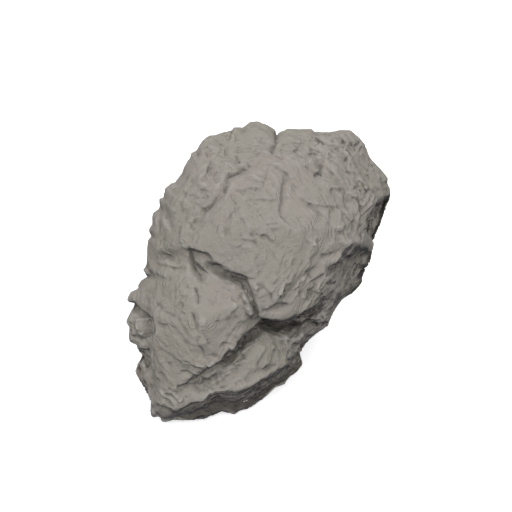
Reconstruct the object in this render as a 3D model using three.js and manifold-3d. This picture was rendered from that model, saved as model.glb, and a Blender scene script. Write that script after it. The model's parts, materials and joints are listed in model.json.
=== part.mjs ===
// A flint nodule as it lies on the ground: one stone, grown as one piece, with a small flat spot under it.
// Its outside is a few blocky lobes that run into each other, so each lobe is made as a convex chunk
// from its corner points, the chunks are joined into one body, and the flat spot is cut level.
// Millimetres, +Z up. The origin is on the ground, under the middle of the stone's box.

import * as THREE from "three";
import { ConvexGeometry } from "three/addons/geometries/ConvexGeometry.js";
import { mergeVertices } from "three/addons/utils/BufferGeometryUtils.js";
import Module from "manifold-3d";

// The stone is studied from the front and from above, as a person looks at a stone on a table.
// Corners that show from there are written as [right, up, near]: how far right and up they look from
// the middle of the stone, and how much nearer to the eye they are than that middle.
const LOOK_DOWN_DEG = 40;
const EYE_TO_MIDDLE = 604;
const MIDDLE_ABOVE_GROUND = 62.5;
const MIDDLE_RIGHT = -1.8;
const MIDDLE_BACK = 3.28;

// The block that cuts away what would lie under the ground.
const CUTTER_SIZE = 400;

const STONE_COLOUR = 0x9a948a;
const STONE_ROUGHNESS = 0.95;

// The upper lobe: a broad face that leans back, with its rim along the top of the stone.
const CROWN_SEEN = [
  [-54.5, -2, 7], [-53.5, 12, 6], [-51.5, 21.5, 5], [-45.5, 33, 6], [-37.5, 42, 7], [-32.5, 50.5, 6],
  [-27, 57.5, 6], [-13, 63, 6], [-4, 66.5, 4], [2, 67, 3], [11, 64.5, 3], [27.5, 63.7, 2], [47, 62.8, 0],
  [54.5, 56, -2], [60, 46.5, -4], [65.5, 38, -5], [67.5, 31, -6], [65.5, 22, -7], [60.5, 10, -4],
  [58.5, 3, -2], [60.5, 27, 7], [55.5, 17, 14], [57, 5, 8], [-46, 5, 19], [-42, 24, 19], [-33, 4.5, 30],
  [-21, -3, 34], [-4.5, -10.5, 38], [-28, 36, 24], [-15.5, 35.5, 30], [-3, 15.5, 39], [22, 13, 38],
  [14.5, 48, 25], [37, 36, 25], [43, 14, 30], [50, 2.5, 22],
];
// Corners that face away are written as [x, y, z] from that same middle, with z up.
const CROWN_BACK = [
  [-33, 36, 32], [-15, 44, 41], [20, 46, 43], [44, 43, 41], [-30, 47, 18], [0, 54, 20], [25, 55, 20],
  [47, 48, 18], [60, 38, 12], [54, 44, 0], [40, 51, -2], [5, 56, -2], [-28, 50, -2], [-48, 32, -2],
  [-51, 14, -10], [44, 30, -28], [-42, 26, -30],
];

// The right end of the upper lobe, which hangs over in a steep, split side.
const BROW_SEEN = [
  [-4.5, -10.5, 38], [-3, 15.5, 39], [22, 13, 38], [43, 14, 30], [0, -18, 38], [2.5, -31, 33],
  [12, -32, 33], [22, -29.5, 32], [28, -23, 31], [15, -17, 38], [34.5, -14, 30], [42, -4.5, 29],
  [50, 2.5, 22], [57, 5, 8], [57, -3.5, -3],
  [53, -13.5, -4], [44.5, -21, -3], [40, -26, -2], [36, -30, 1],
];
const BROW_BACK = [[46, 6, -24], [44, 30, -30], [20, 30, -40], [-10, 10, -30], [57, 24, 0]];

// The lower left lobe, one step back from the upper one.
const SHOULDER_SEEN = [
  [-54.5, -10.5, 4], [-54.5, -4, 6], [-46, -2, 18], [-33, 2, 26], [-20, -4, 29], [-8, -10, 31],
  [-1, -22, 30], [2, -31.5, 26], [-7, -41.5, 29], [-14, -50, 29], [-27, -57, 29], [-41, -67, 22],
  [-51, -60, 15], [-52, -47, 19], [-51, -32, 22], [-28, -34, 35], [-15, -26, 34], [-38, -17, 29],
];
const SHOULDER_BACK = [[-53, 10, -10], [-52, -6, -40], [-20, -20, -45], [10, 0, -30], [-20, 30, -20]];

// The apron: a low slab along the front, whose rim hangs over the ground.
const APRON_SEEN = [
  [-48, -50, 17], [-45, -64, 20], [-39.5, -76, 20], [-25, -70, 22], [-10, -68.5, 23], [5, -61, 20],
  [15, -54, 16], [21, -47, 12], [23, -43, 9], [27, -39, 5], [33, -35.5, 0], [24, -33, 12], [1, -36, 21],
  [23.5, -52.5, -4], [17, -60, -6], [9.5, -65.5, -5], [3, -71, -3], [-8, -77, 0], [-25.5, -81.3, 5],
  [-46.5, -82.5, 8], [-53, -79, 7], [-53.5, -70, 8], [-50, -71, 14],
];
const APRON_BACK = [[-40, -20, -56], [17, -16, -50], [-20, 10, -50], [0, -34, -62], [30, 0, -30]];

// Three small bumps on the left: the upper cheek, the knob and the flank under them.
const CHEEK_SEEN = [
  [-64, -22, 3], [-63, -18.5, 3], [-59.5, -15.5, 4], [-55, -10.5, 6], [-46, -10, 20], [-49, -27, 19],
  [-56, -26, 10],
];
const CHEEK_BACK = [[-57, 4, -20], [-52, 10, -14], [-56, 2, -34], [-45, -10, -25]];
const KNOB_SEEN = [
  [-65, -33, 4], [-63, -27, 4], [-58, -24, 8], [-51, -29, 15], [-49, -42, 15], [-55.5, -49, 7],
  [-63.5, -43, 3], [-59, -34, 12],
];
const KNOB_BACK = [[-58, 0, -36], [-56, -6, -46], [-58, 2, -26], [-45, -15, -40]];
const FLANK_SEEN = [
  [-57.5, -50, 1], [-60.5, -58, 0], [-59, -62, 1], [-54, -71, 5], [-53, -78.5, 6], [-48, -48, 16],
  [-50, -68, 13],
];
const FLANK_BACK = [[-54, -8, -52], [-48, -10, -62], [-56, -4, -42], [-40, -10, -58]];

// The body behind and below, with the flat spot that the stone rests on.
const HEEL_BACK = [
  [-32, -30, -64], [-8, -34, -64], [8, -28, -64], [18, -14, -64], [24, 8, -64], [16, 28, -64],
  [-8, 34, -64], [-28, 24, -64], [-38, 0, -64],
  [-54, -8, -48], [-56, 5, -32], [-44, 28, -38], [-12, 46, -38], [22, 46, -36], [42, 32, -34],
  [44, 8, -30], [22, -14, -46],
  [-51, 14, -10], [-48, 32, -2], [-28, 50, -2], [5, 56, -2], [40, 51, -2], [54, 44, 0], [56, 30, -4],
];

const lookDown = THREE.MathUtils.degToRad(LOOK_DOWN_DEG);
const middle = new THREE.Vector3(MIDDLE_RIGHT, MIDDLE_BACK, MIDDLE_ABOVE_GROUND);

// A corner as it looks from the front, brought to its real place. What is nearer looks larger.
function seen([right, up, near]) {
  const shrink = 1 - near / EYE_TO_MIDDLE;
  const u = right * shrink;
  const v = up * shrink;
  const back = v * Math.sin(lookDown) - near * Math.cos(lookDown);
  const high = v * Math.cos(lookDown) + near * Math.sin(lookDown);
  return new THREE.Vector3(u, back, high).add(middle);
}

function behind([x, y, z]) {
  return new THREE.Vector3(x, y, z).add(middle);
}

const wasm = await Module();
wasm.setup();

// A three.js geometry as a solid that can be joined and cut.
function solidOf(geometry) {
  const bare = geometry.index ? geometry.toNonIndexed() : geometry.clone();
  bare.deleteAttribute("normal");
  bare.deleteAttribute("uv");
  const merged = mergeVertices(bare, 1e-4);
  return new wasm.Manifold(
    new wasm.Mesh({
      numProp: 3,
      vertProperties: merged.attributes.position.array,
      triVerts: new Uint32Array(merged.index.array),
    }),
  );
}

function geometryOf(solid) {
  const mesh = solid.getMesh();
  const geometry = new THREE.BufferGeometry();
  geometry.setAttribute("position", new THREE.BufferAttribute(mesh.vertProperties, 3));
  geometry.setIndex(new THREE.BufferAttribute(mesh.triVerts, 1));
  geometry.computeVertexNormals();
  return geometry;
}

function chunk(seenCorners, backCorners) {
  const corners = [...seenCorners.map(seen), ...backCorners.map(behind)];
  return solidOf(new ConvexGeometry(corners));
}

const chunks = [
  chunk(CROWN_SEEN, CROWN_BACK),
  chunk(BROW_SEEN, BROW_BACK),
  chunk(SHOULDER_SEEN, SHOULDER_BACK),
  chunk(APRON_SEEN, APRON_BACK),
  chunk(CHEEK_SEEN, CHEEK_BACK),
  chunk(KNOB_SEEN, KNOB_BACK),
  chunk(FLANK_SEEN, FLANK_BACK),
  chunk([], HEEL_BACK),
];

// Everything below the ground goes, which leaves the flat spot.
const ground = new THREE.BoxGeometry(CUTTER_SIZE, CUTTER_SIZE, CUTTER_SIZE);
ground.translate(0, 0, -CUTTER_SIZE / 2);

let stone = chunks[0];
for (const next of chunks.slice(1)) {
  stone = stone.add(next);
}
stone = stone.subtract(solidOf(ground));

const nodule = new THREE.Mesh(
  geometryOf(stone),
  new THREE.MeshStandardMaterial({ color: STONE_COLOUR, roughness: STONE_ROUGHNESS, metalness: 0 }),
);
nodule.name = "nodule";

const part = new THREE.Group();
part.add(nodule);

export default part;
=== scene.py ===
# %% [markdown]
# # A flint nodule
#
# This lesson models and shades one natural stone: a flint nodule with its dull, weathered rind. The stone
# grew as one piece, so there is one thing to make, and all the work is in its skin: blocky lobes, a deep
# undercut along the front, thin ledges where layers end, and fine cracks.
#
# The shape starts from the plain faceted solid that holds the stone's size and place. Everything else is
# carved into a copy of it, from the largest forms down to the grain.

# %% Load the plain stone
import json
import math

import bpy
import numpy as np
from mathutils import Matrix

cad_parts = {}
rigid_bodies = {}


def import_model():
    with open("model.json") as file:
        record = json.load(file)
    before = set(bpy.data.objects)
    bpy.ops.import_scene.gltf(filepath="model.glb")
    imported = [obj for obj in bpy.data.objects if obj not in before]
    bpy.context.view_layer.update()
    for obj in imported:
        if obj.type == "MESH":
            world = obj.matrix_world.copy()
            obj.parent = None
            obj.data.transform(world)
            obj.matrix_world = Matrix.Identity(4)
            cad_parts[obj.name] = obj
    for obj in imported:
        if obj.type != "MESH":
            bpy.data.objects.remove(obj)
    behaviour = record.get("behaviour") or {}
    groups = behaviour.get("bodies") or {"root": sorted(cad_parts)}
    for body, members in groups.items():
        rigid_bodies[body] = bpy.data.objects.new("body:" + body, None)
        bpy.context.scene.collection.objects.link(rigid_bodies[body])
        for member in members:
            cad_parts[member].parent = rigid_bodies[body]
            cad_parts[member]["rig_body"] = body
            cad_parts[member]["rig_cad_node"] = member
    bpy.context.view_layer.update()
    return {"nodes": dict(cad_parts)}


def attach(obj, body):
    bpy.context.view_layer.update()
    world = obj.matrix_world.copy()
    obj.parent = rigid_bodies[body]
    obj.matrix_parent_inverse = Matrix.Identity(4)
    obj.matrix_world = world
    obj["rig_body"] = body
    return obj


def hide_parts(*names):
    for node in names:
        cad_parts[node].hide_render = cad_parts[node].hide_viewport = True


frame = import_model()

bpy.ops.object.select_all(action="DESELECT")

# %% [markdown]
# ## Where the eye stands
#
# The stone is studied from the front and from 40 degrees above the ground. The camera comes first, because
# the carving strokes further down are drawn in picture coordinates, as a sculptor marks a block from where
# they stand. A long lens keeps the proportions flat. Lengths are in millimetres unless a name says
# otherwise, and they are turned into metres where Blender takes them.

# %% Camera
FRAME_PX = 512
LENS_MM = 85
SENSOR_MM = 36
EYE_DISTANCE = 604.4
LOOK_DOWN = math.radians(40)
MIDDLE = np.array([-1.8, 3.28, 62.5])
PX_PER_RADIAN = FRAME_PX * LENS_MM / SENSOR_MM
CENTRE_PX = FRAME_PX / 2

RIGHT = np.array([1, 0, 0])
UP = np.array([0, math.sin(LOOK_DOWN), math.cos(LOOK_DOWN)])
NEAR = np.array([0, -math.cos(LOOK_DOWN), math.sin(LOOK_DOWN)])
EYE = MIDDLE + EYE_DISTANCE * NEAR

bpy.ops.object.camera_add(location=EYE / 1000, rotation=(math.pi / 2 - LOOK_DOWN, 0, 0))
camera = bpy.context.object
camera.data.lens = LENS_MM
camera.data.sensor_width = SENSOR_MM
bpy.context.scene.camera = camera
print("camera at, mm:", [round(float(v)) for v in EYE])


def to_picture(points):
    """Picture x, picture y and nearness to the eye (mm) of each point."""
    arm = points - MIDDLE
    near = arm @ NEAR
    spread = PX_PER_RADIAN / (EYE_DISTANCE - near)
    return CENTRE_PX + arm @ RIGHT * spread, CENTRE_PX - arm @ UP * spread, near


# %% [markdown]
# ## The blank
#
# A copy of the plain solid is the blank. Its loose triangles are merged first, so that the copy is one
# closed skin. A voxel remesh then gives it an even weave of small faces, which a sculptor needs before
# carving, and a Smooth modifier wears down the sharp corners as weather does.

# %% Copy, merge and remesh
BLANK_SKIN_MM = 0.9
BLANK_WEAR_ROUNDS = 10
SAME_CORNER_M = 1e-6


def only(piece):
    """Selects one piece and nothing else."""
    bpy.ops.object.select_all(action="DESELECT")
    piece.select_set(True)
    bpy.context.view_layer.objects.active = piece


def remesh(piece, size_mm):
    """Weaves the piece's skin again, in even faces of one size."""
    only(piece)
    piece.data.remesh_voxel_size = size_mm / 1000
    piece.data.remesh_voxel_adaptivity = 0
    bpy.ops.object.voxel_remesh()
    print("skin of", size_mm, "mm:", len(piece.data.vertices), "corners")


def wear(piece, rounds, strength=0.5):
    """Rounds the piece's corners."""
    only(piece)
    worn = piece.modifiers.new("worn", "SMOOTH")
    worn.iterations = rounds
    worn.factor = strength
    bpy.ops.object.modifier_apply(modifier="worn")


only(frame["nodes"]["nodule"])
bpy.ops.object.duplicate()
stone = bpy.context.object
stone.name = "stone"
stone.data.name = "stone"
stone.parent = None
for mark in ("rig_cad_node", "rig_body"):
    if mark in stone:
        del stone[mark]

only(stone)
bpy.ops.object.mode_set(mode="EDIT")
bpy.ops.mesh.select_all(action="SELECT")
bpy.ops.mesh.remove_doubles(threshold=SAME_CORNER_M)
bpy.ops.object.mode_set(mode="OBJECT")
remesh(stone, BLANK_SKIN_MM)
wear(stone, BLANK_WEAR_ROUNDS)

# %% [markdown]
# ## Reading and moving the skin
#
# Carving here means moving corners of the skin by a computed amount, as a sculpt brush does. These helpers
# read the corners as one table in millimetres, and put them back.

# %% Skin helpers


def skin_points(piece):
    """All corners of the skin, in millimetres."""
    flat = np.empty(3 * len(piece.data.vertices), np.float32)
    piece.data.vertices.foreach_get("co", flat)
    return flat.reshape(-1, 3).astype(float) * 1000


def skin_normals(piece):
    """The outward direction at each corner."""
    flat = np.empty(3 * len(piece.data.vertices), np.float32)
    piece.data.vertices.foreach_get("normal", flat)
    return flat.reshape(-1, 3).astype(float)


def put_back(piece, points):
    """Writes moved corners, given in millimetres."""
    piece.data.vertices.foreach_set("co", (points / 1000).astype(np.float32).ravel())
    piece.data.update()


def push_out(piece, move):
    """Moves each corner of the skin outwards by its own amount, in millimetres."""
    put_back(piece, skin_points(piece) + skin_normals(piece) * move[:, None])
    print("skin moved by", round(float(np.abs(move).mean()), 2), "mm on average")


def ramp(value, low, high):
    """0 below low, 1 above high, and a soft rise between them."""
    t = np.clip((value - low) / (high - low), 0, 1)
    return t * t * (3 - 2 * t)


# %% [markdown]
# ## The outline
#
# The outline is what the eye checks first. It is read from the picture, clockwise, and the skin near the
# rim is pressed in or drawn out until its own outline follows it. The press works in the plane of the
# picture, so it changes how far out the rim goes and leaves the depth alone.

# %% Outline as drawn
OUTLINE = [
    (231, 130), (234, 127), (243, 127), (249, 122), (258, 121), (266, 124), (273, 128), (276, 130),
    (277, 134), (279, 132), (287, 128.5), (311, 128.5), (316, 131), (326, 132), (341, 129.5),
    (350, 129.5), (353, 132), (360, 138), (365, 144), (367, 149), (370, 157), (375, 163), (381, 169),
    (385, 174), (388, 178), (388, 184), (390, 188), (391, 194), (390, 200), (387, 205), (386, 210),
    (382, 221), (378, 230), (374, 240), (374, 244), (373, 250), (370, 263), (367, 267), (363, 276),
    (362, 283), (358, 288), (352, 294), (345, 298), (342, 300), (336, 308), (331, 318), (328, 326),
    (322, 330), (316, 334), (310, 339), (305, 345), (302, 350), (300, 355), (303, 361), (302, 366),
    (296, 373), (290, 377), (285, 384), (275, 388), (268, 395), (255, 405), (247, 409), (240, 411),
    (235, 414), (222, 412), (215, 415), (205, 419), (195, 420), (185, 421), (175, 420), (168, 422),
    (163, 422), (160, 420), (159, 417), (153, 418), (150, 414), (150, 402), (149, 398), (144, 388),
    (138, 378), (135, 372), (137, 364), (141, 358), (141, 354), (138, 350), (136, 345), (130, 342),
    (128.5, 338), (129, 327), (126, 322), (128, 316), (131, 310), (134, 305), (133, 303), (129, 302.5),
    (127, 300), (128, 296), (130, 292), (136, 289), (138, 285), (141, 280), (146, 277), (145, 273),
    (143, 270), (146, 265), (147, 255), (147, 248), (148, 240), (151, 236), (149, 232), (149, 229),
    (152, 224), (152, 217), (153, 213), (157, 210), (159.5, 207), (159, 199), (163, 197), (164, 193),
    (165, 188), (168, 186), (171, 183), (175, 182), (177, 179), (181, 174), (182, 172), (184, 167),
    (187, 161), (190, 157), (191, 153), (195, 151), (197, 149), (200, 143), (205, 138), (210, 135),
    (215, 135), (220, 133),
]
OUTLINE_HEART = (250, 264)
RAYS = 480
RIM_SHARE = 0.16
NEARLY_PARALLEL = 1e-9


def drawn_reach():
    """How far the drawn outline lies from its heart, for each ray around it."""
    turn = (np.arange(RAYS) + 0.5) * 2 * math.pi / RAYS
    way = np.stack([np.cos(turn), np.sin(turn)], 1)
    start = np.array(OUTLINE, float) - OUTLINE_HEART
    side = np.roll(start, -1, 0) - start
    cross = way[:, None, 0] * side[None, :, 1] - way[:, None, 1] * side[None, :, 0]
    cross = np.where(np.abs(cross) < NEARLY_PARALLEL, NEARLY_PARALLEL, cross)
    far = (start[None, :, 0] * side[None, :, 1] - start[None, :, 1] * side[None, :, 0]) / cross
    along = (start[None, :, 0] * way[:, None, 1] - start[None, :, 1] * way[:, None, 0]) / cross
    hit = (along >= 0) & (along <= 1) & (far > 0)
    return np.where(hit, far, 0).max(1)


def press_outline(points, rim_share):
    """Moves the skin near the rim so that its outline follows the drawn one.

    rim_share says how deep the press reaches inwards, as a share of the way to the heart."""
    x, y, near = to_picture(points)
    dx = x - OUTLINE_HEART[0]
    dy = y - OUTLINE_HEART[1]
    reach = np.hypot(dx, dy)
    spot = (np.arctan2(dy, dx) / (2 * math.pi) % 1) * RAYS - 0.5
    own = np.zeros(RAYS)
    np.maximum.at(own, np.round(spot).astype(int) % RAYS, reach)
    own = np.maximum(own, np.minimum(np.roll(own, 1), np.roll(own, -1)))
    wanted = drawn_reach()
    left = np.floor(spot).astype(int)
    share = spot - left
    rim = own[left % RAYS] * (1 - share) + own[(left + 1) % RAYS] * share
    goal = wanted[left % RAYS] * (1 - share) + wanted[(left + 1) % RAYS] * share
    pull = (goal - rim) * ramp(reach / rim, 1 - rim_share, 1)
    scale = (EYE_DISTANCE - near) / PX_PER_RADIAN / reach
    step = np.outer(dx * pull * scale, RIGHT) - np.outer(dy * pull * scale, UP)
    print("outline was off by", round(float(np.abs(wanted - own).mean()), 2), "px on average")
    return points + step


put_back(stone, press_outline(skin_points(stone), RIM_SHARE))

# %% [markdown]
# ## Noise
#
# Weathering has no plan, so much of the surface comes from noise: a smooth random field, and a field of
# broken plates, where each plate has its own level and tilt. Both are worked out from whole-number hashes,
# so that they are the same on every run.

# %% Random fields
# Large odd factors spread the numbers of neighbouring cells far apart. Each fold shifts a number by so
# many bits and multiplies it again, and only its lowest bits are kept in the end.
CELL_FACTORS = (374761393, 668265263, 2246822519)
SEED_FACTOR = 3266489
SEED_LIMIT = 4294967291
FOLDS = ((15, 2654435761), (13, 3266489917), (16, 1))
KEPT_BITS = 0xFFFFFF
OCTAVE_SHIFT = 1.03
OCTAVE_SEED_STEP = 17
AXIS_SEED_STEP = 101
FURTHER_THAN_ANY = 9.0


def scatter(cell, seed):
    """A random number from 0 to 1 for each whole-number cell."""
    part = cell.astype(np.int64).astype(np.uint32)
    mix = sum(part[..., axis] * np.uint32(factor) for axis, factor in enumerate(CELL_FACTORS))
    mix = mix + np.uint32(seed * SEED_FACTOR % SEED_LIMIT)
    for shift, factor in FOLDS:
        mix = (mix ^ (mix >> np.uint32(shift))) * np.uint32(factor)
    return (mix & np.uint32(KEPT_BITS)) / KEPT_BITS


def billow(points, size, seed):
    """Smooth noise from -1 to 1, with lumps of the given size in millimetres."""
    place = points / size
    cell = np.floor(place)
    part = place - cell
    part = part * part * part * (part * (part * 6 - 15) + 10)
    total = np.zeros(len(points))
    for corner in np.ndindex(2, 2, 2):
        step = np.array(corner)
        share = np.prod(np.where(step, part, 1 - part), axis=1)
        total += share * scatter(cell + step, seed)
    return 2 * total - 1


def layered(points, size, seed, octaves=3):
    """Noise with finer and finer noise on top."""
    total = np.zeros(len(points))
    for octave in range(octaves):
        shifted = points / OCTAVE_SHIFT**octave
        total += billow(shifted, size / 2**octave, seed + OCTAVE_SEED_STEP * octave) / 2**octave
    return total


def bend(points, size, amount, seed):
    """The points pushed about by noise, which makes straight patterns wander."""
    push = [layered(points, size, seed + AXIS_SEED_STEP * axis, 2) for axis in range(3)]
    return points + amount * np.stack(push, 1)


def plates(points, size, seed):
    """For each point: its plate's random numbers, and the way to it from the plate's heart."""
    place = points / size
    cell = np.floor(place)
    best = np.full(len(points), FURTHER_THAN_ANY)
    heart = np.zeros_like(points)
    luck = np.zeros_like(points)
    for step in np.ndindex(3, 3, 3):
        other = cell + np.array(step) - 1
        jitter = np.stack([scatter(other, seed + k) for k in range(3)], 1)
        middle = other + jitter
        gap = ((middle - place) ** 2).sum(1)
        closer = gap < best
        best = np.where(closer, gap, best)
        heart[closer] = middle[closer]
        luck[closer] = np.stack([scatter(other[closer], seed + 7 + k) for k in range(3)], 1)
    return luck, (place - heart) * size


# %% [markdown]
# ## Strokes drawn on the stone
#
# A sculptor draws a line on the block and cuts along it. Two cuts make nearly everything here. A ledge
# drops on the right-hand side of the line, as drawn, and rises back further out. A groove is a dip along
# the line, or a ridge when its depth is negative. A line is a list of picture points, and it only cuts
# skin that the eye sees, so a stroke across the front never marks the back.

# %% Brushes
HIDDEN_MM = 3.5
EDGE_ON = 0.2
OUT_OF_SIGHT = 1e6
STROKE_WOBBLE_PX = 1.3
STROKE_WOBBLE_MM = 4.0
STROKE_WOBBLE_SEEDS = (401, 431)
TAPER = 0.22
GROOVE_REACH = 4
GROOVE_UNEVEN = 0.4
GROOVE_UNEVEN_MM = 3.0
GROOVE_SEED = 461


def seen(points, out):
    """1 where the eye sees the skin, 0 where the skin is hidden or turned away."""
    x, y, near = to_picture(points)
    column = np.clip(x, 0, FRAME_PX - 1).astype(int)
    row = np.clip(y, 0, FRAME_PX - 1).astype(int)
    front = np.full((FRAME_PX, FRAME_PX), -OUT_OF_SIGHT)
    np.maximum.at(front, (row, column), near)
    to_eye = EYE - points
    facing = (out * to_eye).sum(1) / np.linalg.norm(to_eye, axis=1)
    return (near > front[row, column] - HIDDEN_MM) * ramp(facing, 0.0, EDGE_ON)


def beside(x, y, line):
    """Distance from a drawn line, positive on its right-hand side, and the place along it from 0 to 1."""
    spots = np.array(line, float)
    sides = np.diff(spots, axis=0)
    lengths = np.hypot(sides[:, 0], sides[:, 1])
    best = np.full(len(x), OUT_OF_SIGHT)
    signed = np.zeros(len(x))
    place = np.zeros(len(x))
    walked = 0
    for start, side, length in zip(spots, sides, lengths):
        dx = x - start[0]
        dy = y - start[1]
        share = np.clip((dx * side[0] + dy * side[1]) / length**2, 0, 1)
        gap = np.hypot(dx - share * side[0], dy - share * side[1])
        closer = gap < best
        best = np.where(closer, gap, best)
        signed = np.where(closer, np.copysign(gap, side[0] * dy - side[1] * dx), signed)
        place = np.where(closer, (walked + share * length) / lengths.sum(), place)
        walked += length
    return signed, place


def ledge_cut(gap, riser, reach, raised):
    """The height across a ledge of depth 1: a riser of the given half width, then a slow return."""
    fall = ramp(gap, -riser, riser)
    high = raised * (1 - fall) * (1 - ramp(-gap, riser, reach))
    low = (1 - raised) * fall * (1 - ramp(gap, riser, reach))
    return high - low


def carve(piece, ledges=(), grooves=(), raised=0.4, forward=0.0, softness=1):
    """Cuts all the strokes at once.

    A ledge is (drop in mm, half width of its riser in px, reach in px, line), and a groove is (depth in mm,
    width in px, line). raised is the share of a ledge that stands up instead of going in. forward is how
    far a cut goes away from the eye, not inwards. A softness of 1 gives grooves a sharp bottom, and 2 a
    round one."""
    points = skin_points(piece)
    out = skin_normals(piece)
    mask = seen(points, out)
    shown = np.nonzero(mask > 0)[0]
    x, y, near = to_picture(points[shown])
    across, down = (layered(points[shown], STROKE_WOBBLE_MM, seed, 2) for seed in STROKE_WOBBLE_SEEDS)
    x = x + STROKE_WOBBLE_PX * across
    y = y + STROKE_WOBBLE_PX * down
    move = np.zeros(len(shown))
    strokes = [(drop, riser, reach, line) for drop, riser, reach, line in ledges]
    strokes += [(depth, half, None, line) for depth, half, line in grooves]
    for size, width, reach, line in strokes:
        spots = np.array(line, float)
        margin = reach or GROOVE_REACH * width
        low = spots.min(0) - margin
        high = spots.max(0) + margin
        inside = np.nonzero((x > low[0]) & (x < high[0]) & (y > low[1]) & (y < high[1]))[0]
        gap, place = beside(x[inside], y[inside], line)
        fade = ramp(place, -TAPER / 3, TAPER) * ramp(1 - place, -TAPER / 3, TAPER)
        if reach is None:
            uneven = billow(points[shown[inside]], GROOVE_UNEVEN_MM, GROOVE_SEED)
            spread = width * (1 + GROOVE_UNEVEN * uneven)
            move[inside] -= size * fade * np.exp(-(np.abs(gap / spread) ** softness))
        else:
            move[inside] += size * fade * ledge_cut(gap, width, reach, raised)
    way = out[shown] * (1 - forward) + NEAR * forward
    points[shown] += way * (move * mask[shown])[:, None]
    put_back(piece, points)
    print(len(strokes), "strokes, deepest", round(float(-move.min()), 1), "mm")


# %% [markdown]
# ## The big undercuts
#
# The largest breaks come first. The upper lobe hangs over the slab in front of it, and the shadow under its
# lip is the darkest line on the stone. It runs down to the left as a wide band under the shoulder. The
# slab's own rim hangs over the ground. These cuts go straight away from the eye, so that the lip stays
# where it is and the hollow goes in behind it.

# %% Undercuts
UNDER_THE_BROW = [
    (258, 329), (262, 321.5), (267, 321), (276, 322), (289, 322), (294, 320), (300, 315), (307, 311),
    (311, 309), (316, 305), (321, 300),
]
UNDER_THE_SHOULDER = [
    (217, 365), (221, 361), (226, 356), (231, 351), (235, 347), (240, 342), (244, 338), (249, 335),
    (253, 332), (258, 328), (262, 325),
]
UNDER_THE_RIM = [
    (164, 408), (172, 411), (178, 411), (190, 404), (200, 402.5), (205, 400.5), (210, 395.5),
    (216, 393.5), (230, 394), (237, 395), (244, 394), (248, 391), (253, 388), (257, 383.5), (262, 381),
    (268, 380), (272, 377), (280, 371.5), (286, 367), (291, 362), (296, 353), (298, 345),
]
MAIN_LEDGE = [
    (183, 249), (191, 247), (196, 250), (204, 253), (210, 258), (212, 263.5), (220, 266.5), (226, 271),
    (235, 275), (247, 277),
]
KNOB_RECESS = [
    (128, 301), (134, 302.5), (138, 307), (142, 311), (147, 314), (151, 318), (154, 324), (155, 330),
    (152.5, 337), (151, 346),
]
CHEEK_NOTCH = [(145, 258), (148, 264), (152, 271), (155, 278)]
SIDE_LIP = [
    (325, 272), (333, 267), (340, 262), (345, 257.5), (352, 254), (358, 251), (364, 250), (370, 251),
    (374, 248),
]
SIDE_STEP = [(377, 250), (371, 238), (367, 229), (368, 219), (373, 209), (380, 202), (397, 190)]
BROW_WRINKLE = [(264, 310), (271, 307), (279, 304), (288, 303)]
SHOULDER_SIDE = [(239, 280), (244, 289), (248, 296), (253, 305), (256, 311), (260, 319)]
TOP_NOTCH = [(277, 126), (276, 134), (275, 142), (273, 149), (272, 155)]
UNDERSIDE = [
    (176, 420), (192, 415), (204, 411), (214, 404), (230, 403), (244, 402), (256, 394), (268, 388),
    (280, 380), (292, 371), (300, 360),
]

UNDERCUTS = [
    (10.0, 1.5, 18, UNDER_THE_BROW),
    (3.4, 2.0, 8, UNDER_THE_SHOULDER),
    (6.0, 1.5, 90, UNDER_THE_RIM),
    (15.0, 7.0, 60, UNDERSIDE),
    (2.6, 1.5, 12, MAIN_LEDGE),
    (3.6, 1.8, 14, KNOB_RECESS),
    (4.0, 2.4, 9, CHEEK_NOTCH),
    (9.0, 4.0, 70, SIDE_LIP),
    (8.0, 3.0, 70, SIDE_STEP),
]
CLEFTS = [
    (9.0, 5.0, [(139, 350), (145, 360), (150, 370)]),
    (5.5, 5.0, [(140, 364), (141, 380), (147, 396)]),
    (7.0, 4.0, [(290, 364), (296, 355), (302, 345)]),
    (2.6, 2.4, [(152, 346), (152, 360), (152, 375), (153, 396)]),
    (2.4, 2.0, [(148, 398), (151, 404), (155, 411), (159, 417)]),
    (3.4, 1.6, TOP_NOTCH),
    (3.4, 4.5, [(264, 325), (275, 327), (290, 326), (304, 318)]),
]
carve(stone, UNDERCUTS, CLEFTS, raised=0.0, forward=1.0)

# %% [markdown]
# ## Soft forms
#
# Between the breaks the skin swells and sinks softly, as on a stone that water has rounded. These strokes
# are wide and shallow. A negative depth raises a ridge.

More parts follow.
